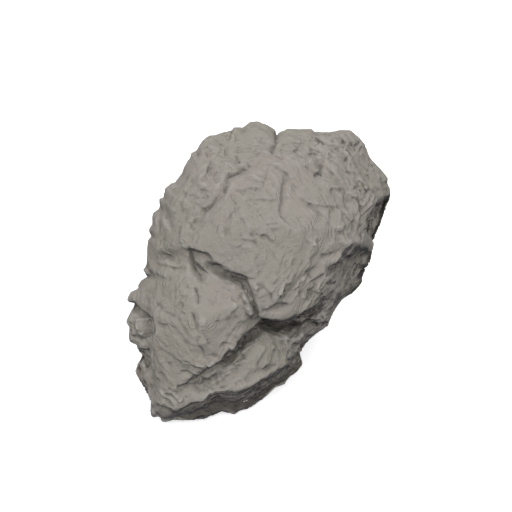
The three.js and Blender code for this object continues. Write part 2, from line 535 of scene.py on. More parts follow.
# %% Valleys and ridges
VALLEYS = [
    (1.9, 4.0, [(262, 160), (249, 168), (232, 176), (224, 187), (214, 204), (203, 215), (194, 228),
                (188, 243)]),
    (1.0, 2.8, [(229, 194), (233, 206), (230, 218), (225, 228), (225, 240)]),
    (1.0, 2.6, [(282, 168), (285, 178), (281, 190), (281, 200), (278, 216)]),
    (0.6, 2.6, [(290, 194), (300, 203), (315, 208), (325, 219)]),
    (0.6, 2.6, [(255, 232), (268, 238), (275, 246), (278, 259)]),
    (0.6, 2.6, [(300, 224), (303, 240), (308, 252)]),
    (1.0, 3.0, [(318, 259), (333, 253), (343, 244)]),
    (1.4, 4.5, [(313, 268), (301, 277), (291, 286), (285, 301)]),
    (0.8, 4.0, [(158, 251), (170, 258), (182, 265)]),
    (1.2, 3.0, [(194, 385), (204, 387), (214, 384)]),
    (0.8, 2.4, [(177, 372), (192, 373), (202, 380), (214, 379)]),
    (1.0, 2.6, [(262, 367), (270, 367), (278, 363)]),
    (0.8, 2.4, [(154, 304), (164, 306), (176, 314)]),
    (1.2, 2.8, [(355, 177), (357, 191)]),
    (1.0, 2.4, [(322, 160), (321, 172), (314, 177)]),
    (0.9, 3.0, [(205, 150), (211, 165), (206, 182)]),
    (0.8, 2.6, [(238, 146), (236, 158), (241, 168)]),
    (1.4, 3.5, [(158, 196), (162, 208), (159, 222)]),
    (-0.9, 5.0, [(252, 142), (262, 149), (268, 157)]),
    (-0.8, 4.0, [(299, 160), (319, 160)]),
    (-0.6, 4.5, [(272, 176), (274, 190), (272, 204)]),
    (-1.0, 3.0, [(162, 219), (163, 233)]),
    (-4.5, 4.5, [(241, 289), (247, 300), (251, 309), (256, 318)]),
    (-2.0, 8.0, [(235, 300), (241, 312), (247, 322)]),
    (2.6, 4.5, [(190, 256), (196, 267), (204, 281)]),
    (1.4, 5.0, [(166, 255), (178, 262), (190, 266)]),
    (-3.2, 6.0, [(342, 243), (354, 242), (368, 241)]),
    (1.2, 5.0, [(358, 262), (352, 274), (345, 286)]),
    (-1.2, 4.0, [(212, 390), (230, 389), (246, 386), (270, 373), (290, 357)]),
    (-1.3, 5.0, [(172, 402), (184, 402)]),
    (-1.6, 6.0, [(340, 246), (354, 241), (368, 243)]),
    (-1.3, 5.0, [(362, 203), (372, 207)]),
    (-1.0, 4.5, [(352, 206), (358, 214), (362, 226)]),
    (-3.5, 20.0, [(158, 208), (178, 180), (197, 154), (226, 139)]),
    (-2.0, 12.0, [(280, 343), (262, 350), (240, 372)]),
    (-2.6, 14.0, [(354, 168), (360, 200), (352, 236)]),
    (-2.2, 9.0, [(337, 268), (327, 285), (320, 300)]),
    (1.0, 4.0, [(194, 352), (206, 357), (218, 352)]),
    (2.6, 5.0, [(190, 384), (204, 387), (218, 378)]),
]
carve(stone, (), VALLEYS, forward=1.0, softness=2)

# %% [markdown]
# ## The fine skin
#
# The cuts stretch the weave, and the fine work needs a finer one.

# %% Remesh finer
FINE_SKIN_MM = 0.42
FINE_WEAR_ROUNDS = 3

remesh(stone, FINE_SKIN_MM)
wear(stone, FINE_WEAR_ROUNDS)

# %% [markdown]
# ## Weathering
#
# The whole skin swells and sinks a little, and on the sides and the back it is broken into plates, each
# with its own level and tilt. This is noise, moved into the skin along its own outward direction, so it
# goes all the way round.

# %% Swells and plates
LAYER_WAY = NEAR * 0.95 + RIGHT * -0.25 + UP * 0.10
LAYER_WAY = LAYER_WAY / np.linalg.norm(LAYER_WAY)
SWELL_MM = 26
SWELL_HEIGHT = 0.6
WEATHER_SEED = 3
WEATHER_WEAR_ROUNDS = 4
# Each is the width, thickness, wander, step and tilt of the plates in millimetres, the share of them that
# the worn front has lost, and a step for the seed.
SLABS = (17, 4.5, 4.0, 0.50, 1.5, 0.6, 5)
FLAKES = (8.5, 2.4, 2.4, 0.16, 0.6, 0.3, 25)


def bedded(points, wide, thick):
    """The points in a space where a flat layer of the given size becomes a cube of size 1."""
    return np.stack([points @ RIGHT / wide, points @ UP / wide, points @ LAYER_WAY / thick], 1)


def broken(points, wide, thick, wander, seed):
    """Broken layers: each piece has its own level from -1 to 1, and leans one way."""
    luck, arm = plates(bedded(bend(points, 2 * wide, wander, seed), wide, thick), 1, seed + 3)
    return 2 * luck[:, 0] - 1, (arm * (luck - 0.5)).sum(1)


def weather(piece, seed):
    """Swells, and two sizes of plates, which are fainter on the worn front."""
    points = skin_points(piece)
    front = seen(points, skin_normals(piece))
    move = SWELL_HEIGHT * layered(points, SWELL_MM, seed, 2)
    for wide, thick, wander, step, tilt, loss, seed_step in (SLABS, FLAKES):
        level, lean = broken(points, wide, thick, wander, seed + seed_step)
        move = move + (step * level + tilt * lean) * (1 - loss * front)
    push_out(piece, move)


weather(stone, WEATHER_SEED)
wear(stone, WEATHER_WEAR_ROUNDS)

# %% [markdown]
# ## Rough places
#
# Some places are freshly broken, with many small facets at odd angles, and smooth skin lies between them.
# On the front these places are read off the stone, as circles. On the back they are scattered.

# %% Break the rough places
ROUGH_PLACES = [
    (330, 150, 38), (354, 185, 30), (298, 148, 22), (206, 376, 26),
    (292, 345, 20), (236, 358, 16), (258, 240, 12), (312, 238, 14), (170, 398, 18),
    (140, 330, 20), (347, 225, 20),
]
STREAK_WAY = 0.83 * RIGHT - 0.55 * UP
STREAK_STRETCH = 0.5
SOFT_RIM = 0.6
BACK_ROUGH = 0.7
BACK_PATCH_MM = 15
BACK_FULL = 0.7
BACK_SEED = 90
FACET_LEVEL = 0.35
FACET_LEAN = 1.2
FACET_WANDER = 0.3
SMOOTH_SHARE = 0.08


def covered(points, places):
    """1 inside the circles, 0 outside, for each point."""
    x, y, near = to_picture(points)
    cover = np.zeros(len(points))
    for middle_x, middle_y, radius in places:
        depth = 1 - np.hypot(x - middle_x, y - middle_y) / radius
        cover = np.maximum(cover, ramp(depth, 0, SOFT_RIM))
    return cover


def roughness(piece):
    """How broken the skin is at each corner, from 0 to 1."""
    points = skin_points(piece)
    front = seen(points, skin_normals(piece))
    drawn = covered(points, ROUGH_PLACES)
    patches = BACK_ROUGH * ramp(billow(points, BACK_PATCH_MM, BACK_SEED), 0.0, BACK_FULL)
    return front * drawn + (1 - front) * patches


def chip(piece, wide, thick, push, seed):
    """Facets of the given size, each with its own level and tilt. They are longer than they are wide."""
    points = skin_points(piece)
    drawn_out = points - STREAK_STRETCH * np.outer(points @ STREAK_WAY, STREAK_WAY)
    level, lean = broken(drawn_out, wide, thick, FACET_WANDER * wide, seed)
    share = SMOOTH_SHARE + (1 - SMOOTH_SHARE) * roughness(piece)
    push_out(piece, push * (FACET_LEVEL * level + FACET_LEAN * lean) * share)


chip(stone, wide=6.0, thick=4.0, push=1.6, seed=95)
wear(stone, rounds=1)
chip(stone, wide=2.6, thick=2.0, push=0.5, seed=125)

# %% [markdown]
# ## Strands
#
# On the steep right side the layers stand out as long strands, like the edge of a stack of slates. The top
# right corner is scratched the other way.

# %% Draw the strands
SIDE_PLACES = [(352, 276, 38), (326, 306, 30), (302, 326, 20), (376, 216, 30), (288, 288, 24)]
SIDE_WAY = 0.60 * RIGHT + 0.80 * UP
CORNER_PLACES = [(330, 150, 42), (354, 185, 36), (300, 148, 26)]
STRAND_WANDER_MM = 9
STRAND_WANDER = 0.8
STRAND_DEPTH_RATIO = 4
FINER_STRANDS = 2.1
FINER_SHARE = 0.5
STRAND_LEVEL = 0.5


def strands(piece, places, way, long, wide, depth, seed):
    """Ridges that run one way, with sharp valleys between them and finer ridges on them."""
    points = skin_points(piece)
    cover = covered(points, places) * seen(points, skin_normals(piece))
    across = np.cross(NEAR, way)
    loose = bend(points, STRAND_WANDER_MM, STRAND_WANDER, seed)
    inwards = STRAND_DEPTH_RATIO * wide
    grid = np.stack([loose @ way / long, loose @ across / wide, loose @ NEAR / inwards], 1)
    ridge = np.abs(billow(grid, 1, seed + 7))
    ridge = ridge + FINER_SHARE * np.abs(billow(FINER_STRANDS * grid, 1, seed + 9))
    push_out(piece, depth * (ridge - STRAND_LEVEL) * cover)


strands(stone, SIDE_PLACES, SIDE_WAY, long=16, wide=2.4, depth=2.0, seed=210)
strands(stone, CORNER_PLACES, STREAK_WAY, long=7, wide=1.6, depth=0.45, seed=230)

# %% [markdown]
# ## Layers
#
# The stone is built of faint layers that lie roughly across the line of sight. Where the skin cuts through
# them, each layer ends in a thin ledge. On the broad face the ledges are few and far apart, on the steep
# sides they crowd into stripes. Each ledge comes and goes along its length, and no two are equally strong.

# %% Cut the ends of the layers
WARP_MM = 20
WARP_LAYERS = 0.5
WAVER_MM = 3.4
WAVER_LAYERS = 0.16
STEEPEST = 0.01
THINNEST_RISER = 0.03
WIDEST_RISER = 0.6
LAYER_SEED_STEP = 5.7
FADE_IN = -0.25
FULL_STEP = 0.7
ROUGH_LOSS = 0.6


def terraces(piece, thick, step, riser_mm, length, seed):
    """Ledges where layers of the given thickness end. Each drops by up to step."""
    points = skin_points(piece)
    slope = np.sqrt(np.clip(1 - (skin_normals(piece) @ LAYER_WAY) ** 2, STEEPEST, 1))
    level = points @ LAYER_WAY / thick + WARP_LAYERS * layered(points, WARP_MM, seed, 2)
    level = level + WAVER_LAYERS * layered(points, WAVER_MM, seed + 31, 2)
    layer = np.floor(level)
    share = level - layer
    riser = np.clip(riser_mm * slope / thick, THINNEST_RISER, WIDEST_RISER)
    along = np.stack([layer * LAYER_SEED_STEP, points @ RIGHT / length, points @ UP / length], 1)
    strength = ramp(billow(along, 1, seed + 41), FADE_IN, FULL_STEP)
    strength = strength * (1 - ROUGH_LOSS * roughness(piece))
    push_out(piece, step * strength * (ramp(share / riser, 0, 1) - share))


terraces(stone, thick=3.6, step=0.7, riser_mm=0.9, length=12, seed=140)
terraces(stone, thick=1.25, step=0.42, riser_mm=0.6, length=8, seed=170)
wear(stone, rounds=1, strength=0.4)

# %% [markdown]
# ## Lines read from the stone
#
# The thin ledges and cracks are read off the picture one by one, area by area. Each is a short line, and
# the noise in the brush keeps it from looking ruled. A fine ledge is written as its drop and its line, and
# a crack as its depth, its half width and its line.

# %% Ledges and cracks of the upper lobe
FINE_DEPTH = 1.8
CRACK_DEPTH = 1.5
FINE_RISER_PX = 0.9
FINE_REACH_PX = 9

UPPER_LEDGES = [
    (0.45, [(201, 180), (205, 173), (209, 165), (212, 160)]),
    (0.35, [(209, 184), (209, 176), (210, 170)]),
    (0.35, [(216, 185), (213, 178), (213, 171)]),
    (0.30, [(218, 176), (219, 170), (217, 166)]),
    (0.35, [(197, 196), (201, 197), (205, 196)]),
    (0.40, [(224, 156), (225, 151), (226, 146)]),
    (0.35, [(220, 152), (219, 147), (221, 142)]),
    (0.50, [(233, 142), (234, 136), (232, 131)]),
    (0.40, [(168, 192), (172, 189), (176, 184)]),
    (0.40, [(259, 137), (264, 137), (269, 139)]),
    (0.50, [(268, 164), (274, 166), (281, 169), (285, 172), (290, 178), (297, 179)]),
    (0.60, [(292, 227), (284, 222), (280, 217), (278, 210), (280, 201), (280, 193), (281, 186),
            (284, 180), (283, 171)]),
    (0.40, [(290, 184), (294, 184), (298, 188)]),
    (0.45, [(250, 180), (257, 180), (265, 181)]),
    (0.40, [(236, 190), (243, 190), (249, 188), (255, 187), (262, 188)]),
    (0.40, [(252, 199), (262, 199), (271, 200), (277, 199)]),
    (0.45, [(296, 196), (302, 199), (310, 203), (318, 205), (326, 206), (335, 206), (346, 206)]),
    (0.45, [(308, 200), (313, 205), (318, 209), (324, 217)]),
    (0.35, [(325, 233), (325, 227), (326, 221)]),
    (0.40, [(345, 238), (343, 233), (344, 226)]),
    (0.40, [(354, 231), (352, 226), (350, 219)]),
    (0.40, [(196, 227), (194, 221), (193, 216)]),
    (0.40, [(195, 236), (192, 230), (190, 224)]),
    (0.50, [(225, 238), (224, 231), (225, 225)]),
    (0.40, [(233, 206), (232, 199), (231, 194)]),
    (0.40, [(234, 218), (234, 212), (232, 207)]),
    (0.35, [(238, 217), (243, 217), (246, 222)]),
    (0.35, [(266, 224), (272, 223), (278, 224)]),
    (0.35, [(270, 229), (275, 228), (281, 227)]),
    (0.50, [(253, 232), (260, 233), (266, 235), (270, 239), (275, 243)]),
    (0.45, [(239, 239), (247, 240), (254, 241), (261, 248)]),
    (0.45, [(266, 240), (269, 246), (274, 253), (278, 261)]),
    (0.45, [(308, 249), (306, 241), (303, 232), (299, 224)]),
    (0.40, [(318, 254), (325, 255), (333, 252), (341, 248)]),
    (0.45, [(158, 231), (158, 222), (159, 213)]),
    (0.45, [(158, 247), (160, 242), (164, 236)]),
    (0.60, [(170, 230), (167, 224), (165, 215)]),
    (0.35, [(257, 277), (257, 270), (256, 265)]),
    (0.35, [(291, 268), (292, 262), (294, 257)]),
]
UPPER_CRACKS = [
    (0.7, 0.9, [(237, 157), (238, 161), (240, 164)]),
    (0.7, 1.2, [(250, 167), (245, 170), (238, 172), (230, 177), (226, 182), (223, 193), (219, 199),
                (214, 206)]),
    (0.7, 1.2, [(221, 180), (223, 187), (223, 194)]),
    (0.6, 1.2, [(272, 155), (277, 158), (285, 158)]),
    (0.5, 1.1, [(280, 148), (282, 152), (285, 157)]),
    (0.6, 1.3, [(197, 151), (198, 156)]),
    (0.7, 0.9, [(205, 152), (207, 157)]),
    (0.7, 0.9, [(219, 151), (217, 156)]),
    (0.8, 1.2, [(231, 128), (230, 135), (226, 140)]),
    (0.5, 1.2, [(264, 181), (262, 187)]),
    (0.5, 1.1, [(216, 201), (210, 207), (205, 213)]),
    (-0.3, 3.0, [(270, 172), (276, 178), (279, 188), (277, 198)]),
    (-0.3, 2.4, [(255, 143), (257, 149), (262, 153), (268, 156)]),
    (0.5, 2.0, [(269, 163), (268, 172), (266, 182)]),
]


def fine(ledges):
    """Adds the thin riser and the short return to each fine ledge."""
    return [(FINE_DEPTH * drop, FINE_RISER_PX, FINE_REACH_PX, line) for drop, line in ledges]


def deeper(cracks):
    """Cracks are drawn shallow, so that all of them can be deepened at once."""
    return [(CRACK_DEPTH * depth, half, line) for depth, half, line in cracks]


carve(stone, fine(UPPER_LEDGES), deeper(UPPER_CRACKS))

# %% [markdown]
# ## Sharp edges of the big breaks
#
# The big cuts were made in a coarse skin, which left their edges round. The same lines are cut again here,
# less deep, so that each lobe ends in a crisp edge. Dark seams run where two lobes meet.

# %% Cut the big edges again
EDGES = [
    (2.6, 1.0, 10, MAIN_LEDGE[5:]),
    (2.8, 1.0, 9, UNDER_THE_SHOULDER),
    (2.6, 1.0, 10, UNDER_THE_BROW),
    (1.6, 1.0, 9, KNOB_RECESS),
    (1.6, 1.0, 30, UNDER_THE_RIM),
    (1.6, 1.0, 30, SIDE_LIP),
    (1.6, 1.0, 30, SIDE_STEP),
    (0.9, 1.0, 7, BROW_WRINKLE),
]
SEAMS = [
    (1.8, 1.5, MAIN_LEDGE[5:]),
    (1.8, 1.3, SHOULDER_SIDE),
    (1.0, 1.1, UNDER_THE_SHOULDER),
    (2.8, 1.8, [(190, 248), (192, 257), (194, 264), (198, 272), (202, 282)]),
    (2.0, 1.6, [(195, 263), (201, 270), (208, 274)]),
    (2.0, 1.3, [(194, 287), (197, 291), (198, 298), (198, 306)]),
    (2.2, 1.5, [(192, 311), (194, 318), (196, 326), (198, 334)]),
    (1.1, 1.1, [(249, 168), (240, 172), (231, 177), (226, 185), (222, 194)]),
    (0.9, 1.1, [(222, 194), (214, 204), (206, 212), (198, 222)]),
    (1.6, 1.1, TOP_NOTCH),
    (1.6, 1.6, [(143, 356), (146, 361), (149, 367)]),
    (1.2, 1.2, [(170, 267), (178, 268), (186, 267)]),
]
carve(stone, EDGES, SEAMS, raised=0.1, forward=0.7)

# %% [markdown]
# ## The broken corner
#
# The top right corner has lost its worn skin. Short steps and open cracks cross it at all angles, and the
# edges between them are chalky and pale, so some strokes here are ridges.

# %% Broken corner at the top right
CORNER_LEDGES = [
    (0.55, [(288, 146), (295, 150), (301, 155)]),
    (0.60, [(300, 146), (308, 149), (315, 153), (321, 156)]),
    (0.50, [(314, 134), (319, 139), (325, 141)]),
    (0.50, [(322, 163), (328, 166), (333, 173), (338, 178)]),
    (0.60, [(349, 142), (354, 145), (358, 150)]),
    (0.45, [(340, 136), (344, 143), (345, 151)]),
    (0.50, [(345, 170), (352, 172), (360, 176)]),
    (0.50, [(330, 189), (338, 190), (346, 189)]),
    (0.50, [(345, 182), (350, 188), (355, 190)]),
    (0.55, [(346, 192), (353, 196), (360, 199)]),
    (0.50, [(362, 182), (367, 188), (374, 190)]),
    (0.45, [(372, 170), (378, 176), (384, 180)]),
    (0.45, [(377, 181), (384, 182), (389, 180)]),
    (0.50, [(376, 188), (383, 189), (390, 187)]),
    (0.50, [(366, 171), (370, 177), (376, 181)]),
]
CORNER_CRACKS = [
    (1.0, 1.4, [(309, 147), (313, 150), (317, 152), (321, 153)]),
    (0.9, 1.1, [(316, 134), (318, 139), (316, 145), (317, 149)]),
    (0.8, 1.6, [(296, 147), (298, 151)]),
    (0.8, 1.4, [(332, 139), (334, 142)]),
    (0.6, 1.2, [(334, 132), (335, 136)]),
    (0.6, 1.2, [(338, 132), (338, 136)]),
    (0.8, 1.2, [(329, 152), (331, 158)]),
    (0.6, 1.0, [(332, 152), (333, 157)]),
    (0.6, 1.0, [(341, 140), (344, 150)]),
    (1.0, 1.0, [(349, 142), (355, 146), (358, 151)]),
    (1.4, 1.3, [(361, 139), (359, 143), (357, 149)]),
    (1.2, 1.1, [(364, 146), (362, 149), (361, 152)]),
    (1.0, 1.2, [(346, 156), (347, 161)]),
    (1.0, 1.3, [(323, 162), (322, 168), (321, 174), (321, 178)]),
    (1.0, 1.5, [(321, 173), (317, 175), (314, 177)]),
    (0.8, 1.0, [(370, 157), (370, 162), (369, 168)]),
    (0.8, 1.2, [(372, 165), (373, 168)]),
    (0.8, 1.0, [(358, 180), (358, 185), (358, 190)]),
    (0.8, 1.1, [(364, 183), (366, 188), (367, 193)]),
    (0.8, 1.2, [(344, 189), (346, 196), (350, 204)]),
    (1.4, 1.3, [(359, 199), (361, 205), (361, 213)]),
    (0.9, 1.4, [(372, 192), (378, 195)]),
    (0.6, 1.4, [(354, 188), (355, 191)]),
    (0.7, 1.0, [(361, 234), (362, 247)]),
    (-0.5, 1.4, [(288, 143), (296, 142), (304, 144), (312, 146)]),
    (-0.5, 1.8, [(300, 160), (308, 161), (315, 160), (321, 158)]),
    (-0.4, 1.5, [(322, 147), (328, 149), (338, 147)]),
    (-0.4, 1.5, [(352, 166), (356, 168)]),
    (-0.5, 1.6, [(345, 137), (347, 137)]),
    (-0.4, 1.6, [(360, 154), (364, 154)]),
    (-0.5, 2.0, [(334, 185), (338, 189), (345, 187)]),
]
carve(stone, fine(CORNER_LEDGES), deeper(CORNER_CRACKS))

# %% [markdown]
# ## The right side
#
# Here the brow turns down to the ground. The lines run steeply, along the strands, and a few ridges between
# them catch the light.

# %% Right side and the slope under it
SIDE_LEDGES = [
    (0.9, [(319, 300), (320, 290), (322, 282), (326, 276), (331, 271)]),
    (0.7, [(309, 292), (311, 291), (313, 287), (313, 282)]),
    (0.7, [(306, 301), (307, 296), (310, 292)]),
    (0.6, [(282, 300), (284, 290), (287, 280)]),
    (0.7, [(260, 310), (266, 309), (270, 307), (275, 304), (280, 304), (285, 303), (290, 304)]),
    (0.6, [(305, 284), (307, 277), (310, 270), (315, 265)]),
    (0.5, [(299, 300), (299, 290), (300, 280)]),
    (0.6, [(334, 300), (338, 291), (343, 282), (348, 273), (352, 266)]),
    (0.6, [(341, 298), (346, 288), (351, 278), (357, 268), (362, 262)]),
    (0.6, [(349, 293), (354, 284), (359, 274), (366, 266)]),
    (0.6, [(327, 316), (331, 308), (334, 302)]),
    (0.5, [(321, 312), (325, 303), (329, 296)]),
    (0.5, [(256, 293), (259, 289), (256, 285)]),
    (0.4, [(262, 287), (268, 289), (272, 295), (271, 301)]),
]
SIDE_CRACKS = [
    (1.0, 1.2, [(307, 300), (308, 293), (312, 290)]),
    (0.8, 1.2, [(326, 283), (332, 284), (337, 281)]),
    (1.2, 1.3, [(320, 314), (324, 319)]),
    (0.8, 1.4, [(346, 271), (352, 266), (357, 264)]),
    (0.9, 1.3, [(345, 291), (349, 281), (354, 271), (361, 261)]),
    (0.9, 1.3, [(350, 290), (355, 280), (361, 270), (367, 262)]),
    (0.8, 1.2, [(338, 288), (342, 278), (347, 269)]),
    (0.9, 1.4, [(376, 202), (376, 210), (375, 219)]),
    (0.9, 1.4, [(386, 199), (384, 206), (380, 215)]),
    (1.0, 1.4, [(368, 221), (370, 228), (374, 235)]),
    (0.7, 1.6, [(306, 271), (310, 275), (313, 279)]),
    (-0.6, 1.5, [(331, 272), (336, 273), (334, 280), (330, 280)]),
    (-0.5, 1.5, [(321, 290), (324, 294), (326, 298)]),
    (-0.7, 1.5, [(339, 290), (336, 297), (332, 303), (331, 310)]),
    (-0.8, 1.6, [(327, 302), (322, 310), (323, 315)]),
    (-0.5, 1.2, [(353, 274), (350, 282), (348, 289)]),
    (-0.5, 1.2, [(347, 274), (343, 285), (340, 294)]),
    (-0.5, 1.2, [(365, 273), (361, 283)]),
]
carve(stone, fine(SIDE_LEDGES), deeper(SIDE_CRACKS))

# %% [markdown]
# ## The shoulder
#
# The shoulder is smooth, with two upright cracks down its middle. Towards its foot the ledges crowd into
# wavy bands, as layers do where they are cut at a low angle.

# %% Shoulder, knob and flank
SHOULDER_LEDGES = [
    (0.5, [(170, 266), (178, 268), (187, 268)]),
    (0.4, [(156, 262), (164, 265), (172, 266)]),
    (0.5, [(153, 306), (157, 303), (163, 309), (170, 312), (177, 316)]),
    (0.4, [(157, 321), (164, 324), (169, 323)]),
    (0.5, [(131, 336), (137, 334), (142, 337), (145, 341)]),
    (0.4, [(217, 347), (223, 343), (228, 343), (235, 344)]),
    (0.4, [(240, 336), (244, 333), (249, 330)]),
    (0.3, [(235, 338), (240, 338)]),
    (0.3, [(216, 322), (219, 320)]),
    (0.5, [(178, 373), (183, 371), (189, 371), (193, 373), (197, 376), (200, 380), (204, 383)]),
    (0.4, [(181, 366), (186, 367), (191, 367)]),
    (0.4, [(184, 361), (190, 361)]),
    (0.5, [(191, 365), (198, 367), (205, 367), (210, 368)]),
    (0.5, [(197, 370), (202, 374), (207, 379), (211, 379)]),
    (0.4, [(182, 384), (187, 384), (192, 383), (199, 384)]),
    (0.4, [(166, 362), (172, 362)]),
    (0.4, [(159, 372), (164, 371)]),
    (0.6, [(157, 390), (160, 394), (164, 398), (169, 401), (173, 405), (176, 409)]),
    (0.4, [(206, 373), (210, 370), (214, 365), (220, 362), (225, 364)]),
    (0.4, [(210, 375), (218, 371), (223, 371)]),
    (0.4, [(207, 380), (213, 376), (218, 374)]),
    (0.4, [(216, 358), (222, 356)]),
    (0.4, [(211, 356), (217, 353)]),
    (0.4, [(155, 272), (160, 276), (167, 277)]),
]
SHOULDER_CRACKS = [
    (0.6, 1.2, [(199, 335), (197, 342), (198, 348), (202, 353), (205, 358), (203, 361)]),
    (0.6, 1.3, [(201, 333), (206, 337), (210, 345)]),
    (0.4, 1.0, [(224, 344), (224, 352)]),
    (0.5, 1.4, [(177, 386), (180, 388)]),
    (0.5, 1.4, [(186, 386), (187, 388)]),
    (0.5, 1.2, [(168, 387), (169, 390)]),
    (0.5, 1.4, [(198, 390), (201, 391)]),
    (0.5, 1.2, [(157, 379), (161, 383)]),
    (0.5, 1.1, [(133, 323), (136, 330)]),
    (0.5, 1.1, [(141, 375), (144, 371)]),
    (0.5, 1.1, [(146, 382), (146, 387)]),
    (-0.5, 1.4, [(147, 380), (149, 390), (151, 400), (153, 408)]),
    (-0.4, 2.2, [(203, 336), (206, 340), (205, 346)]),
    (-0.4, 3.0, [(225, 350), (229, 347), (233, 345)]),
]
carve(stone, fine(SHOULDER_LEDGES), deeper(SHOULDER_CRACKS))

# %% [markdown]
# ## The slab
#
# The slab lies in front of the other lobes. The lines in the dark band above it run along the band.

# %% Slab, band and rim
SLAB_LEDGES = [
    (0.6, [(271, 336), (276, 338), (281, 340), (290, 339), (295, 336)]),
    (0.6, [(228, 370), (234, 368), (238, 365), (242, 362), (247, 361)]),
    (0.6, [(259, 366), (263, 368), (268, 367), (272, 365), (280, 363)]),
    (0.4, [(241, 355), (246, 350), (250, 347)]),
    (0.6, [(209, 387), (216, 383), (222, 380), (228, 375), (234, 371)]),
    (0.5, [(211, 390), (218, 387), (225, 384)]),
    (0.5, [(233, 384), (238, 380), (243, 378)]),
    (0.4, [(229, 389), (235, 386)]),
    (0.5, [(250, 391), (255, 387), (262, 384)]),
    (0.6, [(218, 369), (226, 363), (234, 357), (243, 350)]),
    (0.6, [(232, 362), (240, 356), (248, 349), (256, 343)]),
    (0.5, [(298, 330), (305, 325), (312, 321), (320, 318)]),
    (0.5, [(301, 337), (308, 331), (317, 328), (325, 326)]),
    (0.4, [(284, 358), (289, 356)]),
    (0.4, [(273, 349), (278, 349)]),
    (0.5, [(200, 408), (205, 404), (209, 401), (212, 397), (217, 395), (226, 395)]),
]
SLAB_CRACKS = [
    (0.6, 1.1, [(291, 338), (293, 343), (293, 348)]),
    (0.4, 1.0, [(283, 340), (283, 344)]),
    (0.8, 1.4, [(289, 339), (294, 333), (298, 327)]),
    (0.6, 1.2, [(303, 333), (310, 328), (319, 324)]),
    (-0.6, 1.5, [(305, 323), (311, 320), (319, 318)]),
    (-0.5, 1.8, [(279, 331), (284, 333), (288, 332)]),
    (-0.6, 2.0, [(297, 336), (303, 333)]),
    (-0.5, 1.6, [(221, 378), (227, 375), (232, 372)]),
    (-0.5, 1.8, [(232, 366), (238, 362)]),
    (0.6, 1.3, [(222, 366), (230, 359), (238, 352)]),
    (0.6, 1.3, [(240, 352), (248, 345), (256, 339)]),
    (1.0, 1.5, [(292, 353), (297, 357), (296, 363)]),
    (0.9, 1.5, [(285, 370), (291, 364), (296, 358)]),
]
carve(stone, fine(SLAB_LEDGES), deeper(SLAB_CRACKS))

# %% [markdown]
# ## Grain
#
# The last carving is a fine unevenness, smaller than any ledge. All this carving has moved the rim a
# little, so the outline is pressed once more, only in its outermost skin.

# %% Grain and closing
GRAIN_MM = 1.8
GRAIN_HEIGHT = 0.10
GRAIN_SEED = 11
LAST_RIM_SHARE = 0.06

push_out(stone, GRAIN_HEIGHT * layered(skin_points(stone), GRAIN_MM, GRAIN_SEED, 2))
put_back(stone, press_outline(skin_points(stone), LAST_RIM_SHARE))

# %% [markdown]
# ## Resting spot
#
# The stone has to stand still, so whatever reaches the ground is made level with it. A Decimate modifier
# then merges the small faces where the skin is nearly flat, which keeps the stone light to load.

# %% Level the resting spot and thin the skin
GROUND_GRIP_MM = 0.5
MOST_FACES = 190000
SMOOTH_UP_TO = math.radians(60)

points = skin_points(stone)
points[:, 2] = np.where(points[:, 2] < GROUND_GRIP_MM, 0, points[:, 2])
put_back(stone, points)

only(stone)
faces = sum(len(face.vertices) - 2 for face in stone.data.polygons)
thin = stone.modifiers.new("thin", "DECIMATE")
thin.ratio = min(1, MOST_FACES / faces)
bpy.ops.object.modifier_apply(modifier="thin")
bpy.ops.object.shade_smooth_by_angle(angle=SMOOTH_UP_TO)
print("stone:", len(stone.data.polygons), "faces")

# %% [markdown]
# ## Hollows
#
# The material paints shade into the cracks, and paints the edges paler, partly as wear and partly as a
# painted highlight. To know which is which, a copy of the stone is worn smooth: where the smooth skin lies
# above the real one is a hollow. The result is kept on the skin as an attribute that the material reads.

# %% Measure the hollows
HOLLOW_ROUNDS = 12


def keep(piece, name, values):
    """Keeps one number for each corner of the skin, under a name."""
    kept = piece.data.attributes.new(name, "FLOAT", "POINT")
    kept.data.foreach_set("value", values.astype(np.float32))


only(stone)
bpy.ops.object.duplicate()
worn_copy = bpy.context.object
wear(worn_copy, HOLLOW_ROUNDS)
lift = ((skin_points(worn_copy) - skin_points(stone)) * skin_normals(stone)).sum(1)
bpy.data.objects.remove(worn_copy)
# The material paints shade into the hollows, and a paler edge, from this depth.
keep(stone, "hollow", lift)
print("hollows, mm:", round(float(lift.min()), 2), "to", round(float(lift.max()), 2))

# %% [markdown]
# ## Painted shade below, and chalk
#
# Skin that faces down, and low skin near the ground, is painted darker, as shade. Where the skin is
# freshly broken it is chalky and a little paler. Both shares are kept on the skin as attributes.

# %% Paint shade on what faces down, chalk what is broken
SHADE_BELOW_SHARE = 0.92
SHADE_BELOW_HEIGHT_MM = 16
# How far the skin faces down, from -1 to 1, where the painted shade starts and where it is full.
SHADED_FACING_DOWN = (-0.10, 0.45)
SHADED_NEAR_GROUND = (-0.6, 0.0)
CHALK_MM = 3.5
CHALK_SEED = 71
CHALK_FULL = 0.9

points = skin_points(stone)
# Skin that faces down, and low skin near the ground, gets painted shade.
downward = -skin_normals(stone)[:, 2]
low_down = ramp(-points[:, 2], -SHADE_BELOW_HEIGHT_MM, -SHADE_BELOW_HEIGHT_MM / 4)
near_ground = low_down * ramp(downward, *SHADED_NEAR_GROUND)
shade_below = SHADE_BELOW_SHARE * np.maximum(ramp(downward, *SHADED_FACING_DOWN), near_ground)
chalky = roughness(stone) * ramp(layered(points, CHALK_MM, CHALK_SEED), 0.0, CHALK_FULL)
keep(stone, "painted_shade_below", shade_below)
keep(stone, "chalk", chalky)
print("stained share of the skin:", round(float((shade_below > SHADE_BELOW_SHARE / 2).mean()), 2))

# %% [markdown]
# ## Shader helpers
#
# A material is a net of nodes. One small class wraps a socket, so that sums of sockets read as ordinary
# sums, and one method adds any other node from its type, its settings and its sockets.

# %% Sockets and nets


